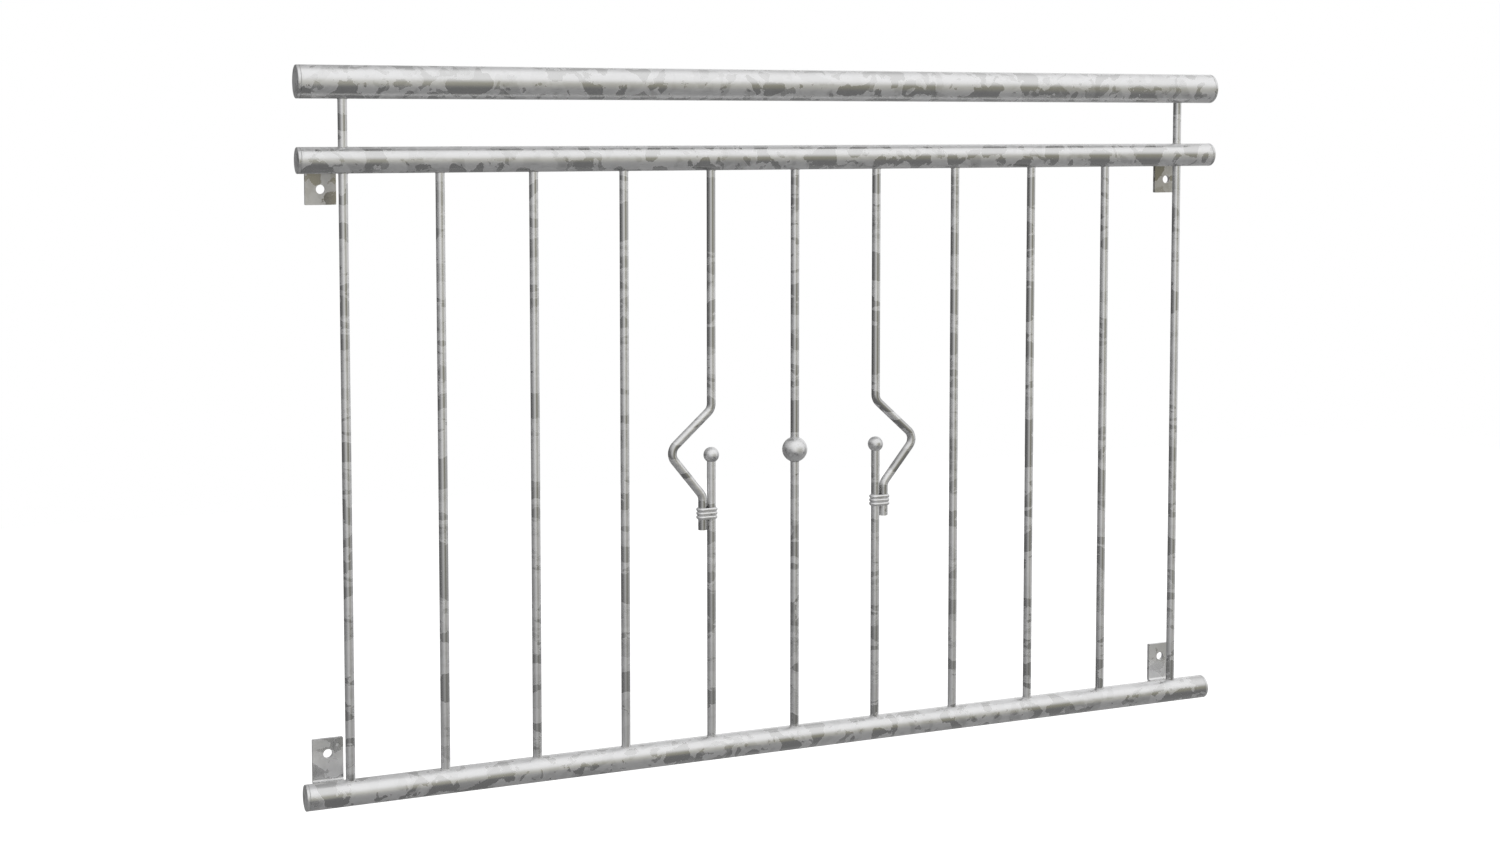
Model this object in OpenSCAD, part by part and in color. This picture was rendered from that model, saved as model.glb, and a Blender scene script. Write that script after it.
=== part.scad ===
// Juliet balcony: a straight railing for a full-height window, in galvanised steel.
// Three round tubes with flat end caps carry eleven round bars and four wall brackets.
// Units are millimetres. X runs along the railing, +Y points at the wall, +Z is up.
// The origin lies on the wall face of the lower left bracket.

/* [Rails] */
// length of each of the three tubes over its end caps
rail_length = 1367; // [1000:1:2000]
// outside diameter of the handrail
handrail_d = 42.4; // [33:0.1:60]
// outside diameter of the middle and bottom rails
rail_d = 33.7; // [26:0.1:48]
// wall thickness of the tubes
tube_wall = 2.6; // [1.5:0.1:4]
// height from the bottom rail's axis to the middle rail's axis
rail_spacing = 812; // [700:0.5:1000]
// height from the middle rail's axis to the handrail's axis
handrail_rise = 98.5; // [70:0.5:160]

/* [End caps] */
// thickness of the part of a cap that shows past the tube
cap_rim = 4; // [2:0.5:8]
// depth of the plug inside the tube
cap_plug = 8; // [4:1:16]
// gap all round between the plug and the tube
cap_clearance = 0.2; // [0.1:0.05:0.4]
// rounding of the cap's outer edge
cap_edge = 1; // [0.4:0.1:1.5]
// chamfer on each side of the seam between cap and tube
seam_chamfer = 0.4; // [0.2:0.1:0.6]

/* [Bars] */
// diameter of every bar and bent rod
bar_d = 12; // [10:0.5:14]
// distance between the axes of neighbouring bars
bar_pitch = 125; // [100:1:125]

/* [Ornament] */
// diameter of the ball on the middle bar
middle_ball_d = 35; // [28:1:45]
// diameter of the ball on top of each short bar
finial_ball_d = 21.5; // [18:0.5:30]
// height of the centres of all three balls above the bottom rail's axis
ball_height = 406.75; // [300:0.25:600]
// height of the bent rod's upper corner above the balls' centres
upper_corner_rise = 63.25; // [50:0.25:90]
// height of the bent rod's outermost corner above the balls' centres
apex_rise = 6.15; // [-5:0.05:20]
// how far the outermost corner stands out from the bar's own line
apex_out = 62.8; // [45:0.1:80]
// depth of the bent rod's lower corner below the balls' centres
lower_corner_drop = 55.75; // [48:0.25:65]
// depth of the bent rod's cut lower end below the balls' centres
tail_drop = 102.45; // [95:0.05:115]
// radius of each bend, at the rod's axis
bend_r = 16; // [12:0.5:20]
// swelling of the rod's diameter where it is bent
bend_swell = 0.04; // [0.02:0.01:0.1]
// gap between the bent rod's tail and the bar beside it
tail_gap = 1; // [0.5:0.1:3]

/* [Collars] */
// depth of the centre of each collar below the balls' centres
collar_drop = 79.75; // [77:0.25:86]
// height of one of the three ridges of a collar
ridge_h = 5.3; // [4.5:0.1:6]
// how far a ridge stands out from the bars
ridge_out = 2.6; // [1.8:0.1:2.6]
// thickness of a collar at the bottom of its grooves
groove_wall = 0.9; // [0.5:0.1:1.2]

/* [Wall brackets] */
// width of the flat steel
bracket_w = 40; // [30:1:50]
// thickness of the flat steel
bracket_t = 5; // [3:0.5:8]
// distance from the end of the tubes to the middle of a bracket
bracket_inset = 40.5; // [30:0.5:50]
// distance from the rail's axis to the wall
wall_reach = 58; // [45:1:80]
// height of a bracket's upright leg, from the rail's axis to the free end
bracket_leg = 58; // [54:1:80]
// distance from the free end of the leg to the middle of the bolt hole
hole_edge = 20; // [15:1:22]
// diameter of the bolt hole
hole_d = 12; // [8:0.5:14]
// inside radius of the fold
fold_r = 3; // [1:0.5:5]
// rounding of the leg's free corners
corner_r = 1; // [0.5:0.5:5]

/* [Hidden] */
$fn = 96;
middle_z = rail_spacing;
handrail_z = middle_z + handrail_rise;
hole_z = bracket_leg - hole_edge;
outer_fold_r = fold_r + bracket_t;
// the origin is a solid point of the wall face, between the fold and the bolt hole
origin_z = (outer_fold_r - bracket_t / 2 + hole_z - hole_d / 2) / 2;
bracket_x = rail_length / 2 - bracket_inset;
end_bar_x = 5 * bar_pitch;
short_bar_x = bar_pitch;
tail_x = short_bar_x + bar_d + tail_gap;
// length of each straight that runs on inside the swollen bend
bend_lap = 0.1;

// moves a shape from the middle of the railing to its place beside the origin
module placed() {
    translate([bracket_x, -wall_reach, -origin_z]) children();
}

// a solid round as long as a rail, used for the coped ends of the bars
module rail_round(z, d) {
    translate([-rail_length / 2, 0, z]) rotate([0, 90, 0]) cylinder(d = d, h = rail_length);
}

// the tube's wall, drawn beside its axis and turned round it
module tube(z, d) {
    len = rail_length - 2 * cap_rim;
    c = seam_chamfer;
    translate([-len / 2, 0, z]) rotate([0, 90, 0]) rotate_extrude()
        polygon([
            [d / 2 - tube_wall, 0], [d / 2 - c, 0], [d / 2, c],
            [d / 2, len - c], [d / 2 - c, len], [d / 2 - tube_wall, len]
        ]);
}

// an end cap, on the right-hand end of a tube of outside diameter d
module end_cap(z, d) {
    r = d / 2;
    plug_r = r - tube_wall - cap_clearance;
    c = seam_chamfer;
    e = cap_edge;
    translate([rail_length / 2 - cap_rim, 0, z]) rotate([0, 90, 0]) rotate_extrude() {
        polygon([
            [0, -cap_plug], [plug_r, -cap_plug], [plug_r, 0], [r - c, 0],
            [r, c], [r, cap_rim - e], [r - e, cap_rim - e], [r - e, cap_rim], [0, cap_rim]
        ]);
        intersection() {
            translate([r - e, cap_rim - e]) circle(r = e);
            translate([r - e, cap_rim - e]) square(e);
        }
    }
}

// a round bar between the axes of two rails, with both ends coped to the tubes
module coped_bar(x, z_low, d_low, z_high, d_high) {
    difference() {
        translate([x, 0, z_low]) cylinder(d = bar_d, h = z_high - z_low);
        rail_round(z_low, d_low);
        rail_round(z_high, d_high);
    }
}

module infill_bar(x) {
    coped_bar(x, 0, rail_d, middle_z, rail_d);
}

module post(x) {
    coped_bar(x, middle_z, rail_d, handrail_z, handrail_d);
}

// the short bar ends in the middle of its ball
module short_bar(x) {
    difference() {
        translate([x, 0, 0]) cylinder(d = bar_d, h = ball_height);
        rail_round(0, rail_d);
    }
}

module drilled_ball(x) {
    difference() {
        translate([x, 0, ball_height]) sphere(d = middle_ball_d);
        translate([x, 0, ball_height - middle_ball_d]) cylinder(d = bar_d, h = 2 * middle_ball_d);
    }
}

module finial_ball(x) {
    difference() {
        translate([x, 0, ball_height]) sphere(d = finial_ball_d);
        translate([x, 0, ball_height - finial_ball_d]) cylinder(d = bar_d, h = finial_ball_d);
    }
}

// corners of the bent rod's axis, as X and Z
rod_top = [short_bar_x, middle_z];
rod_upper = [short_bar_x, ball_height + upper_corner_rise];
rod_apex = [short_bar_x + apex_out, ball_height + apex_rise];
rod_lower = [tail_x, ball_height - lower_corner_drop];
rod_tail = [tail_x, ball_height - tail_drop];

function unit(v) = v / norm(v);
function turned(a, b, c) = acos(unit(b - a) * unit(c - b));
function setback(a, b, c) = bend_r * tan(turned(a, b, c) / 2) - bend_lap;

// a straight piece of rod from a to b, less a length at each end
module straight(a, b, off_a, off_b) {
    d = unit(b - a);
    start = a + off_a * d;
    translate([start[0], 0, start[1]]) rotate([0, atan2(d[0], d[1]), 0])
        cylinder(d = bar_d, h = norm(b - a) - off_a - off_b);
}

// the bend at b, between the straights from a and to c
module bend(a, b, c) {
    turn = turned(a, b, c);
    inward = unit(unit(a - b) + unit(c - b));
    centre = b + inward * bend_r / cos(turn / 2);
    first = atan2(-inward[1], -inward[0]) - turn / 2;
    translate([centre[0], 0, centre[1]]) rotate([90, 0, 0]) rotate([0, 0, first])
        rotate_extrude(angle = turn) translate([bend_r, 0]) circle(d = bar_d + bend_swell);
}

module bent_rod() {
    upper_off = setback(rod_top, rod_upper, rod_apex);
    apex_off = setback(rod_upper, rod_apex, rod_lower);
    lower_off = setback(rod_apex, rod_lower, rod_tail);
    difference() {
        union() {
            straight(rod_top, rod_upper, 0, upper_off);
            bend(rod_top, rod_upper, rod_apex);
            straight(rod_upper, rod_apex, upper_off, apex_off);
            bend(rod_upper, rod_apex, rod_lower);
            straight(rod_apex, rod_lower, apex_off, lower_off);
            bend(rod_apex, rod_lower, rod_tail);
            straight(rod_lower, rod_tail, lower_off, 0);
        }
        rail_round(middle_z, rail_d);
    }
}

// section of a collar's band: three round ridges on a thin strap
module collar_section() {
    intersection() {
        union() {
            translate([0, -1.5 * ridge_h]) square([bar_d / 2 + groove_wall, 3 * ridge_h]);
            for (k = [-1:1])
                translate([bar_d / 2 + ridge_out - ridge_h / 2, k * ridge_h]) circle(d = ridge_h);
        }
        translate([bar_d / 2, -1.5 * ridge_h]) square([bar_d, 3 * ridge_h]);
    }
}

// the collar wraps the short bar and the tail of the bent rod
module collar() {
    span = tail_x - short_bar_x;
    translate([tail_x, 0, ball_height - collar_drop]) rotate([0, 0, -90]) rotate_extrude(angle = 180) collar_section();
    translate([short_bar_x, 0, ball_height - collar_drop]) rotate([0, 0, 90]) rotate_extrude(angle = 180) collar_section();
    for (side = [0, 180])
        translate([short_bar_x + span / 2, 0, ball_height - collar_drop]) rotate([0, 0, side])
            translate([-span / 2, 0, 0]) rotate([90, 0, 90]) linear_extrude(span) collar_section();
}

// side view of a bracket: a flat leg from the rail, a fold, and an upright leg on the wall
module bracket_section() {
    fold_y = wall_reach - outer_fold_r;
    fold_z = outer_fold_r - bracket_t / 2;
    translate([0, -bracket_t / 2]) square([fold_y, bracket_t]);
    translate([wall_reach - bracket_t, fold_z]) square([bracket_t, bracket_leg - fold_z]);
    intersection() {
        difference() {
            translate([fold_y, fold_z]) circle(r = outer_fold_r);
            translate([fold_y, fold_z]) circle(r = fold_r);
        }
        translate([fold_y, fold_z - outer_fold_r]) square(outer_fold_r);
    }
}

// front view of a bracket, with the free corners rounded
module bracket_front() {
    low = -rail_d;
    translate([-bracket_w / 2, low]) square([bracket_w, bracket_leg - corner_r - low]);
    translate([-bracket_w / 2 + corner_r, low]) square([bracket_w - 2 * corner_r, bracket_leg - low]);
    for (side = [-1, 1])
        translate([side * (bracket_w / 2 - corner_r), bracket_leg - corner_r]) circle(r = corner_r);
}

// a bracket that stands up from a rail whose axis is at height 0
module bracket(x) {
    translate([x, 0, 0]) difference() {
        intersection() {
            translate([-bracket_w / 2, 0, 0]) rotate([90, 0, 90]) linear_extrude(bracket_w)
                bracket_section();
            translate([0, 2 * wall_reach, 0]) rotate([90, 0, 0]) linear_extrude(3 * wall_reach)
                bracket_front();
        }
        rail_round(0, rail_d);
        translate([-bracket_w, 0, 0]) rotate([0, 90, 0]) cylinder(d = rail_d, h = 2 * bracket_w);
        translate([0, 2 * wall_reach, hole_z]) rotate([90, 0, 0]) cylinder(d = hole_d, h = 2 * wall_reach);
    }
}

module hanging_bracket(x) {
    translate([0, 0, middle_z]) mirror([0, 0, 1]) bracket(x);
}

module handrail() { color([0.72, 0.73, 0.73]) placed() tube(handrail_z, handrail_d); }
module middle_rail() { color([0.72, 0.73, 0.73]) placed() tube(middle_z, rail_d); }
module bottom_rail() { color([0.72, 0.73, 0.73]) placed() tube(0, rail_d); }

module handrail_cap_left() { color([0.6, 0.61, 0.61]) placed() mirror([1, 0, 0]) end_cap(handrail_z, handrail_d); }
module handrail_cap_right() { color([0.6, 0.61, 0.61]) placed() end_cap(handrail_z, handrail_d); }
module middle_rail_cap_left() { color([0.6, 0.61, 0.61]) placed() mirror([1, 0, 0]) end_cap(middle_z, rail_d); }
module middle_rail_cap_right() { color([0.6, 0.61, 0.61]) placed() end_cap(middle_z, rail_d); }
module bottom_rail_cap_left() { color([0.6, 0.61, 0.61]) placed() mirror([1, 0, 0]) end_cap(0, rail_d); }
module bottom_rail_cap_right() { color([0.6, 0.61, 0.61]) placed() end_cap(0, rail_d); }

module handrail_post_left() { color([0.66, 0.67, 0.67]) placed() post(-end_bar_x); }
module handrail_post_right() { color([0.66, 0.67, 0.67]) placed() post(end_bar_x); }
module end_bar_left() { color([0.66, 0.67, 0.67]) placed() infill_bar(-end_bar_x); }
module end_bar_right() { color([0.66, 0.67, 0.67]) placed() infill_bar(end_bar_x); }
module bar_left_outer() { color([0.66, 0.67, 0.67]) placed() infill_bar(-4 * bar_pitch); }
module bar_left_mid() { color([0.66, 0.67, 0.67]) placed() infill_bar(-3 * bar_pitch); }
module bar_left_inner() { color([0.66, 0.67, 0.67]) placed() infill_bar(-2 * bar_pitch); }
module bar_right_inner() { color([0.66, 0.67, 0.67]) placed() infill_bar(2 * bar_pitch); }
module bar_right_mid() { color([0.66, 0.67, 0.67]) placed() infill_bar(3 * bar_pitch); }
module bar_right_outer() { color([0.66, 0.67, 0.67]) placed() infill_bar(4 * bar_pitch); }
module middle_bar() { color([0.66, 0.67, 0.67]) placed() infill_bar(0); }
module middle_ball() { color([0.7, 0.7, 0.7]) placed() drilled_ball(0); }

module short_bar_left() { color([0.66, 0.67, 0.67]) placed() short_bar(-short_bar_x); }
module short_bar_right() { color([0.66, 0.67, 0.67]) placed() short_bar(short_bar_x); }
module finial_ball_left() { color([0.7, 0.7, 0.7]) placed() finial_ball(-short_bar_x); }
module finial_ball_right() { color([0.7, 0.7, 0.7]) placed() finial_ball(short_bar_x); }
module bent_rod_left() { color([0.64, 0.65, 0.65]) placed() mirror([1, 0, 0]) bent_rod(); }
module bent_rod_right() { color([0.64, 0.65, 0.65]) placed() bent_rod(); }
module collar_left() { color([0.76, 0.77, 0.77]) placed() mirror([1, 0, 0]) collar(); }
module collar_right() { color([0.76, 0.77, 0.77]) placed() collar(); }

module bracket_lower_left() { color([0.6, 0.6, 0.58]) placed() bracket(-bracket_x); }
module bracket_lower_right() { color([0.6, 0.6, 0.58]) placed() bracket(bracket_x); }
module bracket_upper_left() { color([0.6, 0.6, 0.58]) placed() hanging_bracket(-bracket_x); }
module bracket_upper_right() { color([0.6, 0.6, 0.58]) placed() hanging_bracket(bracket_x); }

handrail();
middle_rail();
bottom_rail();
handrail_cap_left();
handrail_cap_right();
middle_rail_cap_left();
middle_rail_cap_right();
bottom_rail_cap_left();
bottom_rail_cap_right();
handrail_post_left();
handrail_post_right();
end_bar_left();
end_bar_right();
bar_left_outer();
bar_left_mid();
bar_left_inner();
bar_right_inner();
bar_right_mid();
bar_right_outer();
middle_bar();
middle_ball();
short_bar_left();
short_bar_right();
finial_ball_left();
finial_ball_right();
bent_rod_left();
bent_rod_right();
collar_left();
collar_right();
bracket_lower_left();
bracket_lower_right();
bracket_upper_left();
bracket_upper_right();
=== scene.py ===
import math
import random

import bpy
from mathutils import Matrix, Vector


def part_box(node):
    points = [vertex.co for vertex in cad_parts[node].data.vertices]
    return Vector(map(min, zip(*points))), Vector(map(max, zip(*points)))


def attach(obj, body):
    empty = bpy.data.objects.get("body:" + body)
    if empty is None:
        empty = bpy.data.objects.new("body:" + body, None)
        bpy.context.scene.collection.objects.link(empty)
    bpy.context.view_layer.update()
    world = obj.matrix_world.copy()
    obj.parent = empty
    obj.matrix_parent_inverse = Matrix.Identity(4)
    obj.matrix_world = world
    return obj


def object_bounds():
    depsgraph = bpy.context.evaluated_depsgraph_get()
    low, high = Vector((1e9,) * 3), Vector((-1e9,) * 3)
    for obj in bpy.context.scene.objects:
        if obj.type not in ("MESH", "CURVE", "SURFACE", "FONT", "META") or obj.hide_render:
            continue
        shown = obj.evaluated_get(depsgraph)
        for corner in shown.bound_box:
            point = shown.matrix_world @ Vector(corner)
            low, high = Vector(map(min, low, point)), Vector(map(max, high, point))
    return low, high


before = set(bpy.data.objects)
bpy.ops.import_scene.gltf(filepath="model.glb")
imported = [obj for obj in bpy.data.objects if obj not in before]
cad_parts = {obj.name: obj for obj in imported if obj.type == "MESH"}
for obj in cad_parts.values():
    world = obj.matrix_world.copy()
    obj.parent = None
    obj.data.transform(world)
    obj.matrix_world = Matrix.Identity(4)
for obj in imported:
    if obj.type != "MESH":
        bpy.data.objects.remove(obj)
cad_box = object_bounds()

MM = 0.001

# the photograph's frame in pixels, and the lens in millimetres
PHOTO_W = 1500
PHOTO_H = 856
LENS = 50.0
SENSOR_W = 36.0
NEAR_CLIP = 0.05
# row of the photograph that the camera's axis points at
AXIS_ROW = 259.15
CAMERA_YAW = 22.998
CAMERA_PITCH = 3.671
CAMERA_AT = Vector((-536.6, -2678.1, 836.95)) * MM

WHITE = (1.0, 1.0, 1.0, 1.0)
# the world's light where it isn't seen as the white background
WORLD_LIGHT = (0.6, 0.6, 0.6, 1.0)
FLOOR_COLOUR = (0.8, 0.8, 0.8, 1.0)
# what the floor adds where it is seen, so that it joins the white background
FLOOR_GLOW = 0.6
# how far below the railing the floor lies
FLOOR_DROP = 0.9
FLOOR_SIZE = 14.0


def centre(node):
    low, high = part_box(node)
    return (low + high) / 2


def radius(rail):
    """Of a tube that lies along X."""
    low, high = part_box(rail)
    return (high.z - low.z) / 2


def bar_radius(node):
    """Of an upright bar, or of a ball."""
    low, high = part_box(node)
    return (high.y - low.y) / 2


# Camera

def make_camera():
    data = bpy.data.cameras.new("camera")
    data.lens = LENS
    data.sensor_width = SENSOR_W
    data.shift_y = (AXIS_ROW - PHOTO_H / 2) / PHOTO_W
    data.clip_start = NEAR_CLIP
    camera = bpy.data.objects.new("camera", data)
    camera.location = CAMERA_AT
    camera.rotation_euler = (math.radians(90 - CAMERA_PITCH), 0, math.radians(-CAMERA_YAW))
    bpy.context.scene.collection.objects.link(camera)
    bpy.context.scene.camera = camera


# Node helpers

class Graph:
    """Adds nodes to a material or world, and links them."""

    def __init__(self, owner):
        owner.use_nodes = True
        self.tree = owner.node_tree
        self.tree.nodes.clear()

    def node(self, kind, inputs=None, **settings):
        made = self.tree.nodes.new(kind)
        for name, value in settings.items():
            setattr(made, name, value)
        for name, value in (inputs or {}).items():
            self.put(made.inputs[name], value)
        return made

    def put(self, socket, value):
        if isinstance(value, bpy.types.NodeSocket):
            self.tree.links.new(value, socket)
        else:
            socket.default_value = value

    def math(self, operation, a, b=0.0, clamp=False):
        made = self.node("ShaderNodeMath", {0: a, 1: b}, operation=operation, use_clamp=clamp)
        return made.outputs[0]

    def add(self, a, b, by=1.0):
        """a plus b times by."""
        return self.math("ADD", a, b if by == 1.0 else self.math("MULTIPLY", b, by))

    def smooth(self, value, low, high, to_low=0.0, to_high=1.0):
        made = self.node("ShaderNodeMapRange", {
            "Value": value, "From Min": low, "From Max": high, "To Min": to_low, "To Max": to_high,
        }, interpolation_type="SMOOTHSTEP")
        return made.outputs["Result"]

    def ramp(self, value, stops, interpolation="LINEAR"):
        """stops are positions with their colours, or with one number for a grey."""
        made = self.node("ShaderNodeValToRGB", {"Fac": value})
        ramp = made.color_ramp
        ramp.interpolation = interpolation
        ramp.elements[0].position = stops[0][0]
        ramp.elements[1].position = stops[-1][0]
        for position, _ in stops[1:-1]:
            ramp.elements.new(position)
        for element, (_, colour) in zip(ramp.elements, stops):
            level = colour if isinstance(colour, tuple) else (colour, colour, colour)
            element.color = (*level, 1.0)
        return made.outputs["Color"]

    def mix(self, factor, a, b):
        """From colour a to colour b."""
        made = self.node("ShaderNodeMix", data_type="RGBA", clamp_result=False)
        self.put(made.inputs[0], factor)
        self.put(made.inputs[6], a)
        self.put(made.inputs[7], b)
        return made.outputs[2]

    def blend(self, factor, a, b):
        """From number a to number b."""
        made = self.node("ShaderNodeMix", data_type="FLOAT")
        self.put(made.inputs[0], factor)
        self.put(made.inputs[2], a)
        self.put(made.inputs[3], b)
        return made.outputs[0]


# Studio: the metal stands in a soft tent that the camera doesn't see. The tent's brightness
# goes by azimuth in degrees, 0 towards the viewer's side and positive to the right, in three
# rings: overhead, at eye level and underfoot.

OVERHEAD = [
    (-180, 0.42), (-150, 0.40), (-120, 0.56), (-90, 0.80), (-60, 1.00), (-20, 1.12), (60, 1.14),
    (90, 1.06), (104, 1.00), (115, 0.92), (128, 0.80), (140, 0.72), (166, 0.50), (180, 0.42),
]
EYE_LEVEL = [
    (-180, 0.22), (-150, 0.12), (-110, 0.15), (-88, 0.22), (-65, 0.32), (-42, 0.76),
    (-14, (1.02, 1.02, 1.00)), (3, (0.56, 0.55, 0.475)), (26, (0.33, 0.32, 0.25)),
    (44, (0.39, 0.38, 0.315)), (62, (0.98, 0.98, 0.97)), (90, 0.54), (112, 0.74), (165, 0.60),
    (180, 0.22),
]
UNDERFOOT = [(-180, 0.22), (-60, 0.20), (60, 0.22), (120, 0.30), (180, 0.22)]
# heights on the unit sphere at which each ring holds fully
EYE_LEVEL_Z = -0.02
OVERHEAD_Z = 0.55
UNDERFOOT_Z = -0.5

TENT_RADIUS = 11.0
# degrees between the tent's ribs
TENT_STEP = 3
# where the tent is open behind the railing, so that the metal shows the white background
OPENING_FROM = 114
OPENING_TO = 165
OPENING_HIGH = 33
# height of the ground sheet over the floor
SHEET_GAP = 0.02


def seen_white(g):
    """1 where the camera, a reflection or a view through glass looks straight at it."""
    rays = g.node("ShaderNodeLightPath").outputs
    glossy = g.math("MAXIMUM", rays["Is Camera Ray"], rays["Is Glossy Ray"])
    return g.math("MAXIMUM", glossy, rays["Is Transmission Ray"])


def make_world():
    world = bpy.data.worlds.new("studio")
    bpy.context.scene.world = world
    g = Graph(world)
    colour = g.mix(seen_white(g), WORLD_LIGHT, WHITE)
    background = g.node("ShaderNodeBackground", {"Color": colour, "Strength": 1.0})
    g.node("ShaderNodeOutputWorld", {"Surface": background.outputs[0]})


def box_middle():
    return (Vector(cad_box[0]) + Vector(cad_box[1])) / 2


def stage_mesh(name, points, faces, material, origin):
    mesh = bpy.data.meshes.new(name)
    mesh.from_pydata(points, [], faces)
    mesh.materials.append(material)
    made = bpy.data.objects.new(name, mesh)
    made.location = origin
    bpy.context.scene.collection.objects.link(made)
    return made


def make_floor():
    material = bpy.data.materials.new("pale_floor")
    g = Graph(material)
    plain = g.node("ShaderNodeBsdfDiffuse", {"Color": FLOOR_COLOUR})
    glow = g.node("ShaderNodeEmission", {"Color": WHITE, "Strength": FLOOR_GLOW})
    white = g.node("ShaderNodeAddShader", {0: plain.outputs[0], 1: glow.outputs[0]})
    surface = g.node(
        "ShaderNodeMixShader", {0: seen_white(g), 1: plain.outputs[0], 2: white.outputs[0]})
    g.node("ShaderNodeOutputMaterial", {"Surface": surface.outputs[0]})
    half = FLOOR_SIZE / 2
    corners = [(-half, -half, 0), (half, -half, 0), (half, half, 0), (-half, half, 0)]
    middle = box_middle()
    height = cad_box[0][2] - FLOOR_DROP
    stage_mesh("floor", corners, [(0, 1, 2, 3)], material, (middle.x, middle.y, height))


def tent_material():
    material = bpy.data.materials.new("tent_cloth")
    g = Graph(material)
    where = g.node("ShaderNodeTexCoord").outputs["Object"]
    way = g.node("ShaderNodeVectorMath", {0: where}, operation="NORMALIZE").outputs[0]
    x, y, z = g.node("ShaderNodeSeparateXYZ", {0: way}).outputs
    turn = g.math("ARCTAN2", x, g.math("MULTIPLY", y, -1.0))
    place = g.math("ADD", g.math("MULTIPLY", turn, 1 / math.tau), 0.5)

    def ring(levels):
        return g.ramp(place, [((azimuth + 180) / 360, colour) for azimuth, colour in levels])

    up = g.smooth(z, EYE_LEVEL_Z, OVERHEAD_Z)
    down = g.smooth(z, EYE_LEVEL_Z, UNDERFOOT_Z)
    cloth = g.mix(up, ring(EYE_LEVEL), ring(OVERHEAD))
    cloth = g.mix(down, cloth, ring(UNDERFOOT))
    glow = g.node("ShaderNodeEmission", {"Color": cloth, "Strength": 1.0})
    g.node("ShaderNodeOutputMaterial", {"Surface": glow.outputs[0]})
    material.cycles.emission_sampling = "NONE"
    return material


def make_tent():
    """A dome that is open behind the railing, and a ground sheet just above the floor."""
    material = tent_material()
    middle = box_middle()
    drop = middle.z - (cad_box[0][2] - FLOOR_DROP + SHEET_GAP)
    low = -math.degrees(math.asin(drop / TENT_RADIUS))
    tilts = [low, *range(0, 91, TENT_STEP)]
    turns = list(range(-180, 180, TENT_STEP))
    wide = len(turns)

    def on_tent(tilt, turn):
        t, a = math.radians(tilt), math.radians(turn)
        return (
            TENT_RADIUS * math.cos(t) * math.sin(a), -TENT_RADIUS * math.cos(t) * math.cos(a),
            TENT_RADIUS * math.sin(t))

    points = [on_tent(tilt, turn) for tilt in tilts for turn in turns]
    faces = []
    for row, tilt in enumerate(tilts[:-1]):
        for column, turn in enumerate(turns):
            if OPENING_FROM <= turn < OPENING_TO and tilt < OPENING_HIGH:
                continue
            after = (column + 1) % wide
            faces.append((
                row * wide + column, row * wide + after,
                (row + 1) * wide + after, (row + 1) * wide + column))
    dome = stage_mesh("tent", points, faces, material, middle)
    disc = [on_tent(low, turn) for turn in turns]
    sheet = stage_mesh("ground_sheet", disc, [tuple(range(wide))], material, middle)
    for piece in (dome, sheet):
        piece.visible_camera = False
        piece.visible_shadow = False
        piece.visible_transmission = False
    sheet.visible_diffuse = False


# Galvanised steel: dark crystals are bare metal, light ones are chalky and rougher

DARK_ZINC = (0.6, 0.6, 0.5998)
LIGHT_ZINC = (0.77, 0.77, 0.7765)
# shares of red, green and blue that a warmth of 1 takes away
DARK_WARMTH = (0.0, 0.04, 0.14)
LIGHT_WARMTH = (0.0, 0.01, 0.02)
DARK_METALLIC = 1.0
LIGHT_METALLIC = 0.78

# an even light zinc's tone, where 0 is a dark crystal and 1 a light one
EVEN_TONE = 0.80
# Patches of crystals, in two tones to each noise: features a metre, distortion, the level
# that the first tone lies under, the level that the second lies over, and how much each
# takes away from an even light zinc
DARK_PATCHES = (27, 0.5, 0.422, 0.66, 0.95, 0.30)
HALF_DARK_PATCHES = (21, 0.7, 0.40, 0.60, 0.16, 0.34)
FLECKS = (44, 0.8, 0.372, 0.66, 0.70, 0.14)
# detail and roughness of these noises
PATCH_NOISE = (1.0, 0.45)
# features a metre, detail, roughness and distortion of the noise that frays the patches
RAGGED = (95, 4.0, 0.62, 0.4)
RAGGED_SHARE = 0.26
# the first three of these for soft clouds over the zinc, and for its grain
CLOUD = (48, 3.0, 0.55)
GRAIN = (900, 3.0, 0.6)
# cells a metre of the frosting and of the drops, how far a drop's full height and its foot
# lie from its middle, and the share of the cells that have no drop
FROST_CELLS = 480
DROP_CELLS = 58
DROP_EDGE = (0.05, 0.085)
NO_DROP = 0.86
# shares of the clouds, grain, frosting and drops in the tone
CLOUD_TONE = 0.24
GRAIN_TONE = 0.10
FROST_TONE = 0.06
DROP_TONE = 0.25
# and their shares in the surface's height
CLOUD_BUMP = 0.9
GRAIN_BUMP = 0.06
DROP_BUMP = 0.5
BUMP_STRENGTH = 0.15
BUMP_DISTANCE = 0.3 * MM

# half widths of the line of painted shade and dirt in the seam of an end cap, and of its darkest
# part
SEAM_SHADE_AND_DIRT = 0.8 * MM
SEAM_DARKEST = SEAM_SHADE_AND_DIRT / 3
SEAM_SHADE_AND_DIRT_COLOUR = (0.18, 0.18, 0.175, 1.0)
SEAM_SHADE_AND_DIRT_SHARE = 0.2
SEAM_SHADE_AND_DIRT_ROUGHNESS = 0.3


def zinc_colour(base, shade, warmth, warming):
    """warming is DARK_WARMTH or LIGHT_WARMTH."""
    return (*(level * shade * (1 - loss * warmth) for level, loss in zip(base, warming)), 1.0)


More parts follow.
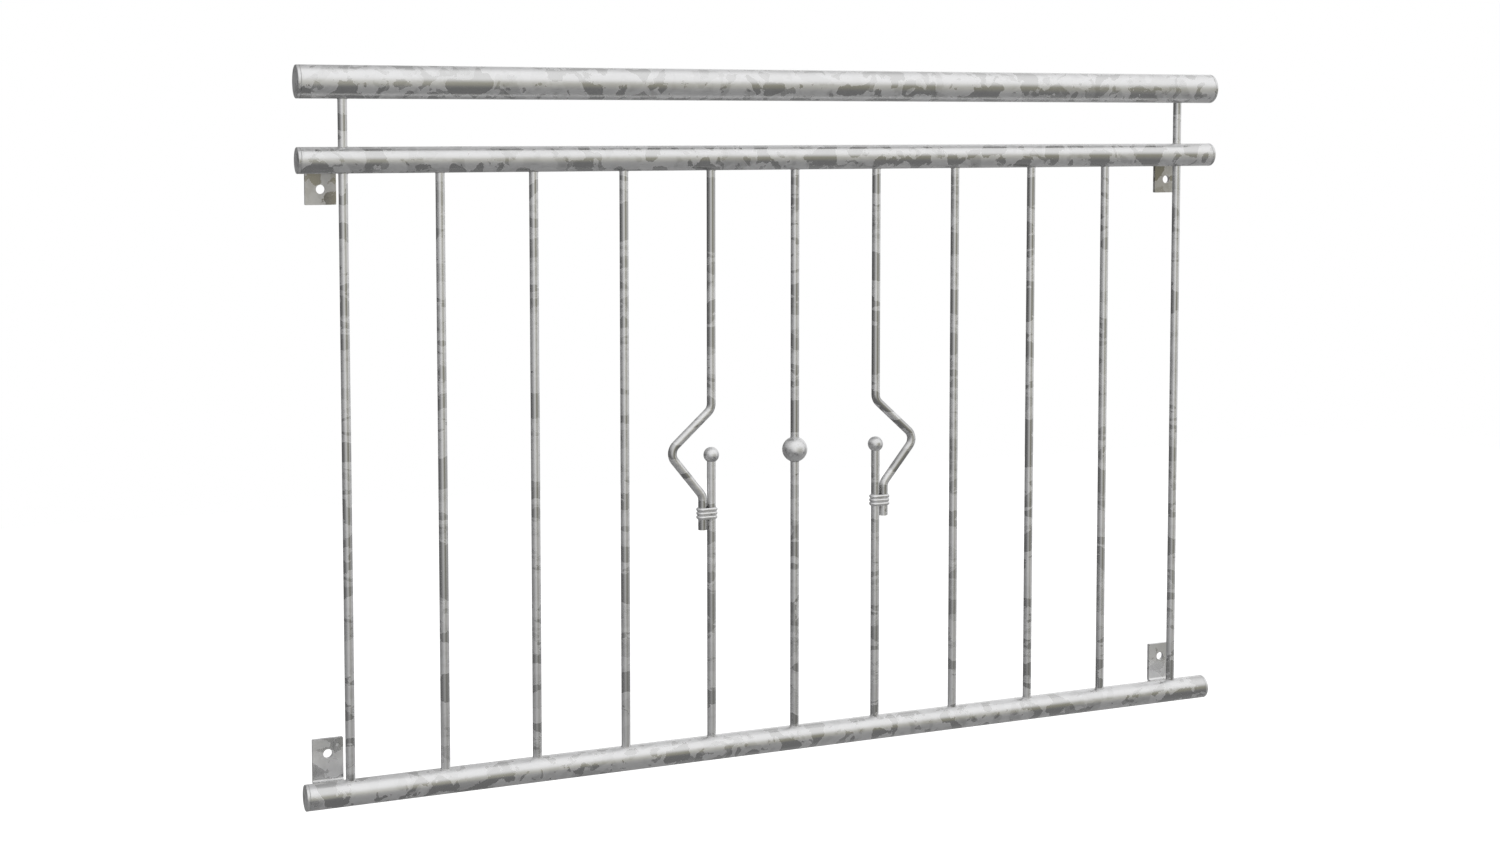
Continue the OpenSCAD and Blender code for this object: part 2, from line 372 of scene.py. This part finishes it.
def galvanised(
        name, patch=1.0, contrast=1.0, shade=1.0, warmth=0.0, rough=(0.22, 0.36), more=0.0,
        deep=1.0, seam=None, shift=(0.0, 0.0, 0.0), squeeze=(1.0, 1.0, 1.0)):
    """patch is the size of the crystals' patches, contrast how far the dark ones differ,
    shade the brightness, warmth how brown the dark ones are, rough the roughness of dark and
    light ones, deep how bright the dark ones are, and more how much further they spread. seam
    is the middle and the half length in X between two seams that get a line of painted shade
    and dirt. shift moves the pattern, and squeeze packs it along X, Y and Z, so that under 1
    draws it out."""
    material = bpy.data.materials.new(name)
    g = Graph(material)
    where = g.node("ShaderNodeTexCoord").outputs["Object"]
    place = g.node(
        "ShaderNodeMapping", {"Vector": where, "Location": shift, "Scale": squeeze}).outputs[0]

    def noise(scale, detail, roughness, distortion=0.0):
        made = g.node("ShaderNodeTexNoise", {
            "Vector": place, "Scale": scale, "Detail": detail, "Roughness": roughness,
            "Distortion": distortion})
        return made.outputs["Fac"]

    def cells(scale):
        """The distance to the middle of a cell, and a random number that each cell has."""
        made = g.node("ShaderNodeTexVoronoi", {"Vector": place, "Scale": scale})
        chance = g.node("ShaderNodeSeparateColor", {0: made.outputs["Color"]}).outputs[0]
        return made.outputs["Distance"], chance

    ragged = noise(RAGGED[0] / patch, *RAGGED[1:])

    def patches(scale, distortion, below, above, low, high):
        """Two tones with ragged outlines: low under below, and high over above."""
        field = g.add(noise(scale / patch, *PATCH_NOISE, distortion), ragged, RAGGED_SHARE)
        field = g.add(field, -RAGGED_SHARE / 2)
        return g.ramp(field, [(0.0, low), (below, 0.0), (above, high), (1.0, high)], "CONSTANT")

    scale, distortion, below, *others = DARK_PATCHES
    taken = patches(scale, distortion, below + more, *others)
    taken = g.add(taken, patches(*HALF_DARK_PATCHES))
    taken = g.add(taken, patches(*FLECKS))
    cloud = noise(CLOUD[0] / patch, *CLOUD[1:])
    grain = noise(*GRAIN)
    frost = g.math("SUBTRACT", cells(FROST_CELLS)[1], 0.5)
    far, chance = cells(DROP_CELLS)
    mound = g.smooth(far, *DROP_EDGE, 1.0, 0.0)
    drop = g.math("MULTIPLY", mound, g.math("GREATER_THAN", chance, NO_DROP))
    soft = g.add(g.math("MULTIPLY", cloud, CLOUD_TONE), grain, GRAIN_TONE)
    soft = g.add(soft, frost, FROST_TONE)
    soft = g.add(soft, drop, DROP_TONE)
    tone = g.add(g.add(EVEN_TONE, soft), taken, -contrast)
    tone = g.math("MAXIMUM", tone, 0.0, clamp=True)
    dark = zinc_colour(DARK_ZINC, shade * deep, warmth, DARK_WARMTH)
    light = zinc_colour(LIGHT_ZINC, shade, warmth, LIGHT_WARMTH)
    colour = g.mix(tone, dark, light)
    metal = g.blend(tone, DARK_METALLIC, LIGHT_METALLIC)
    roughness = g.blend(tone, *rough)
    # a dark line of painted shade, with some dirt, along the end caps' seams, standing in for the
    # shade in their groove
    if seam:
        along = g.node("ShaderNodeSeparateXYZ", {0: where}).outputs[0]
        off = g.math("ABSOLUTE", g.math("SUBTRACT", along, seam[0]))
        off = g.math("ABSOLUTE", g.math("SUBTRACT", off, seam[1]))
        seam_shade_and_dirt = g.smooth(off, SEAM_DARKEST, SEAM_SHADE_AND_DIRT, SEAM_SHADE_AND_DIRT_SHARE, 0.0)
        colour = g.mix(seam_shade_and_dirt, colour, SEAM_SHADE_AND_DIRT_COLOUR)
        roughness = g.add(roughness, seam_shade_and_dirt, SEAM_SHADE_AND_DIRT_ROUGHNESS)
    height = g.add(g.math("MULTIPLY", cloud, CLOUD_BUMP), grain, GRAIN_BUMP)
    height = g.add(height, drop, DROP_BUMP)
    bump = g.node("ShaderNodeBump", {
        "Strength": BUMP_STRENGTH, "Distance": BUMP_DISTANCE, "Height": height})
    shader = g.node("ShaderNodeBsdfPrincipled", {
        "Base Color": colour, "Metallic": metal, "Roughness": roughness,
        "Normal": bump.outputs[0]})
    g.node("ShaderNodeOutputMaterial", {"Surface": shader.outputs[0]})
    return material


def dress_nodes():
    # the three tubes end alike, and their ends are the seams with the caps
    low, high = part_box("handrail")
    seam = ((low.x + high.x) / 2, (high.x - low.x) / 2)
    # on thin bars the crystals reach across the whole bar
    banded = {"patch": 0.85, "rough": (0.20, 0.30), "squeeze": (0.4, 0.4, 1.0)}
    tube = galvanised("zinc_tube", patch=0.88, seam=seam)
    bar = galvanised("zinc_bar", contrast=1.1, shade=1.01, deep=0.94, **banded)
    dark_bar = galvanised("zinc_dark_bar", contrast=1.15, more=0.045, deep=0.86, **banded)
    # finishes of the nodes whose names hold one of these words
    finishes = {
        "ball": galvanised("zinc_ball", patch=0.5, contrast=0.5),
        "collar": galvanised("zinc_collar", patch=0.35, contrast=0.4, shade=1.05),
        "cap": galvanised("zinc_cap", patch=0.7, contrast=0.6, shade=0.95, seam=seam),
        "bracket_lower": galvanised(
            "zinc_bracket", contrast=0.85, shade=1.08, shift=(0.99, 1.11, 0.87)),
    }
    for hand, shift in (("left", (0.84, 2.75, 2.30)), ("right", (2.12, 2.49, 0.71))):
        finishes["bracket_upper_" + hand] = galvanised(
            "zinc_brown_bracket_" + hand, contrast=1.1, shade=0.9, warmth=0.9, more=-0.025,
            deep=0.76, shift=shift)
    dark_bars = ("bent_rod_left", "bent_rod_right", "middle_bar", "bar_right_mid")
    for node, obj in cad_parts.items():
        finish = tube if node.endswith("rail") else dark_bar if node in dark_bars else bar
        for word, material in finishes.items():
            if word in node:
                finish = material
        obj.data.materials.clear()
        obj.data.materials.append(finish)


# Weld beads

BAR_BEAD = 0.9 * MM
BALL_BEAD = 0.8 * MM
BRACKET_BEAD = 1.6 * MM
BEAD_STEPS = 64
# steps over a bead from foot to foot, and how far its middle is pulled towards the corner
BEAD_ARC = 4
BEAD_PULL = 0.55
# how far a bead's edges and root lie inside the steel
BITE = 0.06 * MM
ROOT = 0.5 * MM
# ripples of a bead: how many there are in a whole turn, and their share of its size
RIPPLES = ((2, 0.10), (5, 0.08), (13, 0.07))
# thickness of the brackets' flat steel, the rounding of the bead's corners round it, the
# steps in each corner and the length of a step along its sides
BRACKET_T = 5 * MM
BRACKET_SOFTEN = 0.8 * MM
CORNER_STEPS = 4
SIDE_STEP = 1.2 * MM


def make_bead(name, loop, material):
    """loop holds, for each step along the weld, its corner and its two feet on the steel."""
    points = []
    for corner, foot, toe in loop:
        middle = (foot + toe) / 2
        pull = corner.lerp(middle, BEAD_PULL)
        row = []
        for k in range(BEAD_ARC + 1):
            t = k / BEAD_ARC
            row.append(foot * (1 - t) ** 2 + pull * 2 * t * (1 - t) + toe * t ** 2)
        inward = (corner - middle).normalized()
        row[0] = row[0] + inward * BITE
        row[-1] = row[-1] + inward * BITE
        row.append(corner + inward * ROOT)
        points += row
    wide = BEAD_ARC + 2
    faces = []
    for i in range(len(loop)):
        after = (i + 1) % len(loop)
        for k in range(wide):
            right = (k + 1) % wide
            faces.append((i * wide + k, i * wide + right, after * wide + right, after * wide + k))
    mesh = bpy.data.meshes.new(name)
    mesh.from_pydata(points, [], faces)
    mesh.polygons.foreach_set("use_smooth", [True] * len(mesh.polygons))
    mesh.materials.append(material)
    mesh.update()
    made = bpy.data.objects.new(name, mesh)
    bpy.context.scene.collection.objects.link(made)
    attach(made, "root")


def ripples(name):
    """The bead's size at a turn from 0 to 1, as a share of its mean size."""
    draw = random.Random(name)
    waves = [(count, draw.uniform(0, math.tau), share) for count, share in RIPPLES]

    def size(turn):
        return 1 + sum(
            share * math.sin(count * math.tau * turn + start) for count, start, share in waves)
    return size


def round_bead(name, bead, side, bar_r, surface, material):
    """Round an upright bar. surface gives the point of the steel that the bar stands on, in
    a level direction at a reach from the bar's axis. The bar hangs where side is -1."""
    size = ripples(name)
    loop = []
    for i in range(BEAD_STEPS):
        turn = i / BEAD_STEPS
        a = math.tau * turn
        width = bead * size(turn)
        out = Vector((math.cos(a), math.sin(a), 0))
        corner = surface(out, bar_r)
        foot = corner + Vector((0, 0, side * width))
        loop.append((corner, foot, surface(out, bar_r + width)))
    make_bead(name, loop, material)


def saddle_bead(name, x, rail, side, bar_r, material):
    """Round a bar that stands on a rail, or hangs from it where side is -1."""
    axis = centre(rail)
    rail_r = radius(rail)

    def on_rail(out, reach):
        y = reach * out.y
        up = side * math.sqrt(rail_r ** 2 - y ** 2)
        return Vector((x + reach * out.x, axis.y + y, axis.z + up))
    round_bead(name, BAR_BEAD, side, bar_r, on_rail, material)


def ball_bead(name, ball, bar_r, side, material):
    """Round a bar where it goes into a ball from above, or from below where side is -1."""
    middle = centre(ball)
    ball_r = bar_radius(ball)

    def on_ball(out, reach):
        return middle + out * reach + Vector((0, 0, side * math.sqrt(ball_r ** 2 - reach ** 2)))
    round_bead(name, BALL_BEAD, side, bar_r, on_ball, material)


def bracket_bead(name, bracket, rail, material):
    """Round the flat leg of a bracket, where it meets the back of its rail."""
    low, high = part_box(bracket)
    axis = centre(rail)
    rail_r = radius(rail)
    half_w = (high.x - low.x) / 2 - BRACKET_SOFTEN
    half_t = BRACKET_T / 2 - BRACKET_SOFTEN
    middle_x = (low.x + high.x) / 2
    size = ripples(name)
    corners = []
    for sx, sz, first in ((1, 1, 0), (-1, 1, 90), (-1, -1, 180), (1, -1, 270)):
        for k in range(CORNER_STEPS + 1):
            a = math.radians(first + 90 * k / CORNER_STEPS)
            out = Vector((math.cos(a), 0, math.sin(a)))
            corners.append((
                sx * half_w + BRACKET_SOFTEN * out.x, sz * half_t + BRACKET_SOFTEN * out.z, out))
    edge = []
    for (x1, z1, out1), (x2, z2, out2) in zip(corners, corners[1:] + corners[:1]):
        count = max(1, round(math.hypot(x2 - x1, z2 - z1) / SIDE_STEP))
        for k in range(count):
            t = k / count
            edge.append((x1 + (x2 - x1) * t, z1 + (z2 - z1) * t, out1.lerp(out2, t).normalized()))

    def on_rail(x, z, out, reach):
        up = z + reach * out.z
        return Vector((
            middle_x + x + reach * out.x, axis.y + math.sqrt(rail_r ** 2 - up ** 2), axis.z + up))

    loop = []
    for i, place in enumerate(edge):
        width = BRACKET_BEAD * size(i / len(edge))
        corner = on_rail(*place, 0)
        loop.append((corner, corner + Vector((0, width, 0)), on_rail(*place, width)))
    make_bead(name, loop, material)


def make_beads():
    # the beads' steel is darkened to a shade of 0.72 as painted shade, for the contact shadow
    # where bars and brackets meet the rails and balls
    material = galvanised(
        "zinc_weld", patch=0.3, contrast=0.5, shade=0.72, warmth=0.3, rough=(0.30, 0.42))
    full_bars = (
        "end_bar_left", "end_bar_right", "bar_left_outer", "bar_left_mid", "bar_left_inner",
        "bar_right_inner", "bar_right_mid", "bar_right_outer", "middle_bar")
    for bar in full_bars:
        x, bar_r = centre(bar).x, bar_radius(bar)
        saddle_bead("weld_" + bar + "_foot", x, "bottom_rail", 1, bar_r, material)
        saddle_bead("weld_" + bar + "_top", x, "middle_rail", -1, bar_r, material)
    for hand in ("left", "right"):
        post = "handrail_post_" + hand
        x, bar_r = centre(post).x, bar_radius(post)
        saddle_bead("weld_" + post + "_foot", x, "middle_rail", 1, bar_r, material)
        saddle_bead("weld_" + post + "_top", x, "handrail", -1, bar_r, material)
        # the bent rod's top stands in line with the short bar
        short = "short_bar_" + hand
        x, bar_r = centre(short).x, bar_radius(short)
        saddle_bead("weld_" + short + "_foot", x, "bottom_rail", 1, bar_r, material)
        saddle_bead("weld_bent_rod_" + hand + "_top", x, "middle_rail", -1, bar_r, material)
        ball_bead("weld_finial_ball_" + hand, "finial_ball_" + hand, bar_r, -1, material)
        for level, rail in (("lower", "bottom_rail"), ("upper", "middle_rail")):
            bracket = "bracket_" + level + "_" + hand
            bracket_bead("weld_" + bracket, bracket, rail, material)
    bar_r = bar_radius("middle_bar")
    ball_bead("weld_middle_ball_top", "middle_ball", bar_r, 1, material)
    ball_bead("weld_middle_ball_foot", "middle_ball", bar_r, -1, material)


make_camera()
make_world()
make_floor()
make_tent()
dress_nodes()
make_beads()

bpy.context.scene.view_settings.view_transform = "Standard"
